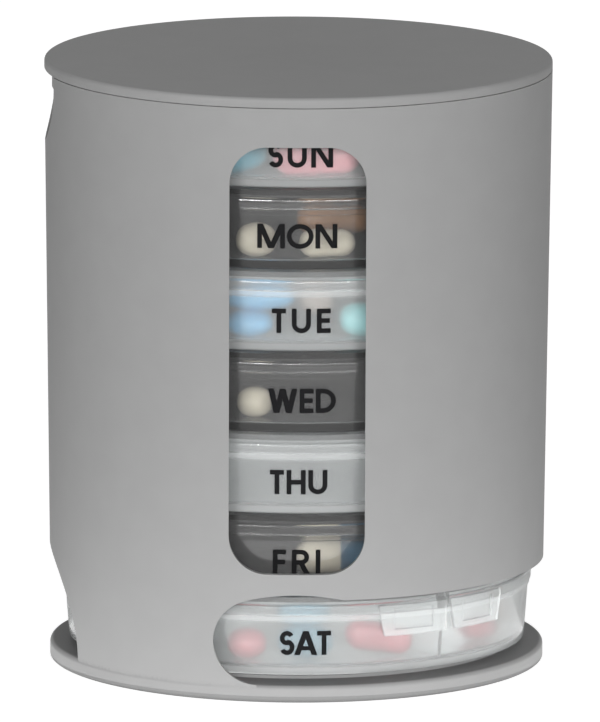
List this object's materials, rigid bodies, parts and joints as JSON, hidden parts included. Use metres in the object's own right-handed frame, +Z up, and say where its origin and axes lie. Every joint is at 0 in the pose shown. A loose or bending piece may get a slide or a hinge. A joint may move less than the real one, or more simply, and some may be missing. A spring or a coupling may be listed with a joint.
{
  "type": "weekly pill dispenser",
  "caption": "Oval tower of stacked pill trays with a front window, a plug lid, and a bottom tray that slides out; each tray has hinged flaps over its compartments.",
  "frame": {"origin": "centre of the underside", "axes": "+Z up the tower, window towards -Y, bottom tray slides out towards +X"},
  "size_m": [0.102, 0.088, 0.123],
  "materials": {
    "grey_plastic": "satin moulded plastic",
    "frosted_plastic": "frosted translucent plastic",
    "smoky_plastic": "clear smoky plastic"
  },
  "bodies": {
    "housing": {"housing": "grey_plastic"},
    "tray_sat": {"tray_sat": "frosted_plastic"},
    "flap_sat_front": {"flap_sat_front": "frosted_plastic"},
    "flap_sat_right": {"flap_sat_right": "frosted_plastic"},
    "flap_sat_back": {"flap_sat_back": "frosted_plastic"},
    "flap_sat_left": {"flap_sat_left": "frosted_plastic"},
    "tray_fri": {"tray_fri": "smoky_plastic"},
    "flap_fri_front": {"flap_fri_front": "smoky_plastic"},
    "flap_fri_right": {"flap_fri_right": "smoky_plastic"},
    "flap_fri_back": {"flap_fri_back": "smoky_plastic"},
    "flap_fri_left": {"flap_fri_left": "smoky_plastic"},
    "tray_thu": {"tray_thu": "frosted_plastic"},
    "flap_thu_front": {"flap_thu_front": "frosted_plastic"},
    "flap_thu_right": {"flap_thu_right": "frosted_plastic"},
    "flap_thu_back": {"flap_thu_back": "frosted_plastic"},
    "flap_thu_left": {"flap_thu_left": "frosted_plastic"},
    "tray_wed": {"tray_wed": "smoky_plastic"},
    "flap_wed_front": {"flap_wed_front": "smoky_plastic"},
    "flap_wed_right": {"flap_wed_right": "smoky_plastic"},
    "flap_wed_back": {"flap_wed_back": "smoky_plastic"},
    "flap_wed_left": {"flap_wed_left": "smoky_plastic"},
    "tray_tue": {"tray_tue": "frosted_plastic"},
    "flap_tue_front": {"flap_tue_front": "frosted_plastic"},
    "flap_tue_right": {"flap_tue_right": "frosted_plastic"},
    "flap_tue_back": {"flap_tue_back": "frosted_plastic"},
    "flap_tue_left": {"flap_tue_left": "frosted_plastic"},
    "tray_mon": {"tray_mon": "smoky_plastic"},
    "flap_mon_front": {"flap_mon_front": "smoky_plastic"},
    "flap_mon_right": {"flap_mon_right": "smoky_plastic"},
    "flap_mon_back": {"flap_mon_back": "smoky_plastic"},
    "flap_mon_left": {"flap_mon_left": "smoky_plastic"},
    "tray_sun": {"tray_sun": "frosted_plastic"},
    "flap_sun_front": {"flap_sun_front": "frosted_plastic"},
    "flap_sun_right": {"flap_sun_right": "frosted_plastic"},
    "flap_sun_back": {"flap_sun_back": "frosted_plastic"},
    "flap_sun_left": {"flap_sun_left": "frosted_plastic"},
    "top_lid": {"top_lid": "grey_plastic"}
  },
  "joints": [
    {"name": "tray_sat_slide", "type": "slide", "parent": "housing", "child": "tray_sat", "axis": [1, 0, 0], "range_m": [0, 0.1]},
    {"name": "flap_sat_front_hinge", "type": "hinge", "parent": "tray_sat", "child": "flap_sat_front", "pos_m": [0.00096, -0.00096, 0.0206], "axis": [-0.7071, -0.7071, 0], "range_deg": [0, 90]},
    {"name": "flap_sat_right_hinge", "type": "hinge", "parent": "tray_sat", "child": "flap_sat_right", "pos_m": [0.00096, -0.00096, 0.0206], "axis": [-0.7071, -0.7071, 0], "range_deg": [0, 90]},
    {"name": "flap_sat_back_hinge", "type": "hinge", "parent": "tray_sat", "child": "flap_sat_back", "pos_m": [-0.00096, 0.00096, 0.0206], "axis": [0.7071, 0.7071, 0], "range_deg": [0, 90]},
    {"name": "flap_sat_left_hinge", "type": "hinge", "parent": "tray_sat", "child": "flap_sat_left", "pos_m": [-0.00096, 0.00096, 0.0206], "axis": [0.7071, 0.7071, 0], "range_deg": [0, 90]},
    {"name": "tray_fri_lift", "type": "slide", "parent": "housing", "child": "tray_fri", "axis": [0, 0, 1], "range_m": [0, 0.072]},
    {"name": "flap_fri_front_hinge", "type": "hinge", "parent": "tray_fri", "child": "flap_fri_front", "pos_m": [0.00096, -0.00096, 0.03715], "axis": [-0.7071, -0.7071, 0], "range_deg": [0, 90]},
    {"name": "flap_fri_right_hinge", "type": "hinge", "parent": "tray_fri", "child": "flap_fri_right", "pos_m": [0.00096, -0.00096, 0.03715], "axis": [-0.7071, -0.7071, 0], "range_deg": [0, 90]},
    {"name": "flap_fri_back_hinge", "type": "hinge", "parent": "tray_fri", "child": "flap_fri_back", "pos_m": [-0.00096, 0.00096, 0.03715], "axis": [0.7071, 0.7071, 0], "range_deg": [0, 90]},
    {"name": "flap_fri_left_hinge", "type": "hinge", "parent": "tray_fri", "child": "flap_fri_left", "pos_m": [-0.00096, 0.00096, 0.03715], "axis": [0.7071, 0.7071, 0], "range_deg": [0, 90]},
    {"name": "tray_thu_lift", "type": "slide", "parent": "tray_fri", "child": "tray_thu", "axis": [0, 0, 1], "range_m": [0, 0.072]},
    {"name": "flap_thu_front_hinge", "type": "hinge", "parent": "tray_thu", "child": "flap_thu_front", "pos_m": [0.00096, -0.00096, 0.0537], "axis": [-0.7071, -0.7071, 0], "range_deg": [0, 90]},
    {"name": "flap_thu_right_hinge", "type": "hinge", "parent": "tray_thu", "child": "flap_thu_right", "pos_m": [0.00096, -0.00096, 0.0537], "axis": [-0.7071, -0.7071, 0], "range_deg": [0, 90]},
    {"name": "flap_thu_back_hinge", "type": "hinge", "parent": "tray_thu", "child": "flap_thu_back", "pos_m": [-0.00096, 0.00096, 0.0537], "axis": [0.7071, 0.7071, 0], "range_deg": [0, 90]},
    {"name": "flap_thu_left_hinge", "type": "hinge", "parent": "tray_thu", "child": "flap_thu_left", "pos_m": [-0.00096, 0.00096, 0.0537], "axis": [0.7071, 0.7071, 0], "range_deg": [0, 90]},
    {"name": "tray_wed_lift", "type": "slide", "parent": "tray_thu", "child": "tray_wed", "axis": [0, 0, 1], "range_m": [0, 0.072]},
    {"name": "flap_wed_front_hinge", "type": "hinge", "parent": "tray_wed", "child": "flap_wed_front", "pos_m": [0.00096, -0.00096, 0.07025], "axis": [-0.7071, -0.7071, 0], "range_deg": [0, 90]},
    {"name": "flap_wed_right_hinge", "type": "hinge", "parent": "tray_wed", "child": "flap_wed_right", "pos_m": [0.00096, -0.00096, 0.07025], "axis": [-0.7071, -0.7071, 0], "range_deg": [0, 90]},
    {"name": "flap_wed_back_hinge", "type": "hinge", "parent": "tray_wed", "child": "flap_wed_back", "pos_m": [-0.00096, 0.00096, 0.07025], "axis": [0.7071, 0.7071, 0], "range_deg": [0, 90]},
    {"name": "flap_wed_left_hinge", "type": "hinge", "parent": "tray_wed", "child": "flap_wed_left", "pos_m": [-0.00096, 0.00096, 0.07025], "axis": [0.7071, 0.7071, 0], "range_deg": [0, 90]},
    {"name": "tray_tue_lift", "type": "slide", "parent": "tray_wed", "child": "tray_tue", "axis": [0, 0, 1], "range_m": [0, 0.072]},
    {"name": "flap_tue_front_hinge", "type": "hinge", "parent": "tray_tue", "child": "flap_tue_front", "pos_m": [0.00096, -0.00096, 0.0868], "axis": [-0.7071, -0.7071, 0], "range_deg": [0, 90]},
    {"name": "flap_tue_right_hinge", "type": "hinge", "parent": "tray_tue", "child": "flap_tue_right", "pos_m": [0.00096, -0.00096, 0.0868], "axis": [-0.7071, -0.7071, 0], "range_deg": [0, 90]},
    {"name": "flap_tue_back_hinge", "type": "hinge", "parent": "tray_tue", "child": "flap_tue_back", "pos_m": [-0.00096, 0.00096, 0.0868], "axis": [0.7071, 0.7071, 0], "range_deg": [0, 90]},
    {"name": "flap_tue_left_hinge", "type": "hinge", "parent": "tray_tue", "child": "flap_tue_left", "pos_m": [-0.00096, 0.00096, 0.0868], "axis": [0.7071, 0.7071, 0], "range_deg": [0, 90]},
    {"name": "tray_mon_lift", "type": "slide", "parent": "tray_tue", "child": "tray_mon", "axis": [0, 0, 1], "range_m": [0, 0.072]},
    {"name": "flap_mon_front_hinge", "type": "hinge", "parent": "tray_mon", "child": "flap_mon_front", "pos_m": [0.00096, -0.00096, 0.10335], "axis": [-0.7071, -0.7071, 0], "range_deg": [0, 90]},
    {"name": "flap_mon_right_hinge", "type": "hinge", "parent": "tray_mon", "child": "flap_mon_right", "pos_m": [0.00096, -0.00096, 0.10335], "axis": [-0.7071, -0.7071, 0], "range_deg": [0, 90]},
    {"name": "flap_mon_back_hinge", "type": "hinge", "parent": "tray_mon", "child": "flap_mon_back", "pos_m": [-0.00096, 0.00096, 0.10335], "axis": [0.7071, 0.7071, 0], "range_deg": [0, 90]},
    {"name": "flap_mon_left_hinge", "type": "hinge", "parent": "tray_mon", "child": "flap_mon_left", "pos_m": [-0.00096, 0.00096, 0.10335], "axis": [0.7071, 0.7071, 0], "range_deg": [0, 90]},
    {"name": "tray_sun_lift", "type": "slide", "parent": "tray_mon", "child": "tray_sun", "axis": [0, 0, 1], "range_m": [0, 0.072]},
    {"name": "flap_sun_front_hinge", "type": "hinge", "parent": "tray_sun", "child": "flap_sun_front", "pos_m": [0.00096, -0.00096, 0.1199], "axis": [-0.7071, -0.7071, 0], "range_deg": [0, 90]},
    {"name": "flap_sun_right_hinge", "type": "hinge", "parent": "tray_sun", "child": "flap_sun_right", "pos_m": [0.00096, -0.00096, 0.1199], "axis": [-0.7071, -0.7071, 0], "range_deg": [0, 90]},
    {"name": "flap_sun_back_hinge", "type": "hinge", "parent": "tray_sun", "child": "flap_sun_back", "pos_m": [-0.00096, 0.00096, 0.1199], "axis": [0.7071, 0.7071, 0], "range_deg": [0, 90]},
    {"name": "flap_sun_left_hinge", "type": "hinge", "parent": "tray_sun", "child": "flap_sun_left", "pos_m": [-0.00096, 0.00096, 0.1199], "axis": [0.7071, 0.7071, 0], "range_deg": [0, 90]},
    {"name": "top_lid_lift", "type": "slide", "parent": "tray_sun", "child": "top_lid", "axis": [0, 0, 1], "range_m": [0, 0.072]}
  ],
  "couplings": [
    {"joint": "flap_sat_front_hinge", "follows": "tray_fri_lift", "rad_per_m": 21.8},
    {"joint": "flap_sat_right_hinge", "follows": "tray_fri_lift", "rad_per_m": 21.8},
    {"joint": "flap_sat_back_hinge", "follows": "tray_fri_lift", "rad_per_m": 21.8},
    {"joint": "flap_sat_left_hinge", "follows": "tray_fri_lift", "rad_per_m": 21.8},
    {"joint": "flap_fri_front_hinge", "follows": "tray_thu_lift", "rad_per_m": 21.8},
    {"joint": "flap_fri_right_hinge", "follows": "tray_thu_lift", "rad_per_m": 21.8},
    {"joint": "flap_fri_back_hinge", "follows": "tray_thu_lift", "rad_per_m": 21.8},
    {"joint": "flap_fri_left_hinge", "follows": "tray_thu_lift", "rad_per_m": 21.8},
    {"joint": "flap_thu_front_hinge", "follows": "tray_wed_lift", "rad_per_m": 21.8},
    {"joint": "flap_thu_right_hinge", "follows": "tray_wed_lift", "rad_per_m": 21.8},
    {"joint": "flap_thu_back_hinge", "follows": "tray_wed_lift", "rad_per_m": 21.8},
    {"joint": "flap_thu_left_hinge", "follows": "tray_wed_lift", "rad_per_m": 21.8},
    {"joint": "flap_wed_front_hinge", "follows": "tray_tue_lift", "rad_per_m": 21.8},
    {"joint": "flap_wed_right_hinge", "follows": "tray_tue_lift", "rad_per_m": 21.8},
    {"joint": "flap_wed_back_hinge", "follows": "tray_tue_lift", "rad_per_m": 21.8},
    {"joint": "flap_wed_left_hinge", "follows": "tray_tue_lift", "rad_per_m": 21.8},
    {"joint": "flap_tue_front_hinge", "follows": "tray_mon_lift", "rad_per_m": 21.8},
    {"joint": "flap_tue_right_hinge", "follows": "tray_mon_lift", "rad_per_m": 21.8},
    {"joint": "flap_tue_back_hinge", "follows": "tray_mon_lift", "rad_per_m": 21.8},
    {"joint": "flap_tue_left_hinge", "follows": "tray_mon_lift", "rad_per_m": 21.8},
    {"joint": "flap_mon_front_hinge", "follows": "tray_sun_lift", "rad_per_m": 21.8},
    {"joint": "flap_mon_right_hinge", "follows": "tray_sun_lift", "rad_per_m": 21.8},
    {"joint": "flap_mon_back_hinge", "follows": "tray_sun_lift", "rad_per_m": 21.8},
    {"joint": "flap_mon_left_hinge", "follows": "tray_sun_lift", "rad_per_m": 21.8},
    {"joint": "flap_sun_front_hinge", "follows": "top_lid_lift", "rad_per_m": 21.8},
    {"joint": "flap_sun_right_hinge", "follows": "top_lid_lift", "rad_per_m": 21.8},
    {"joint": "flap_sun_back_hinge", "follows": "top_lid_lift", "rad_per_m": 21.8},
    {"joint": "flap_sun_left_hinge", "follows": "top_lid_lift", "rad_per_m": 21.8}
  ]
}
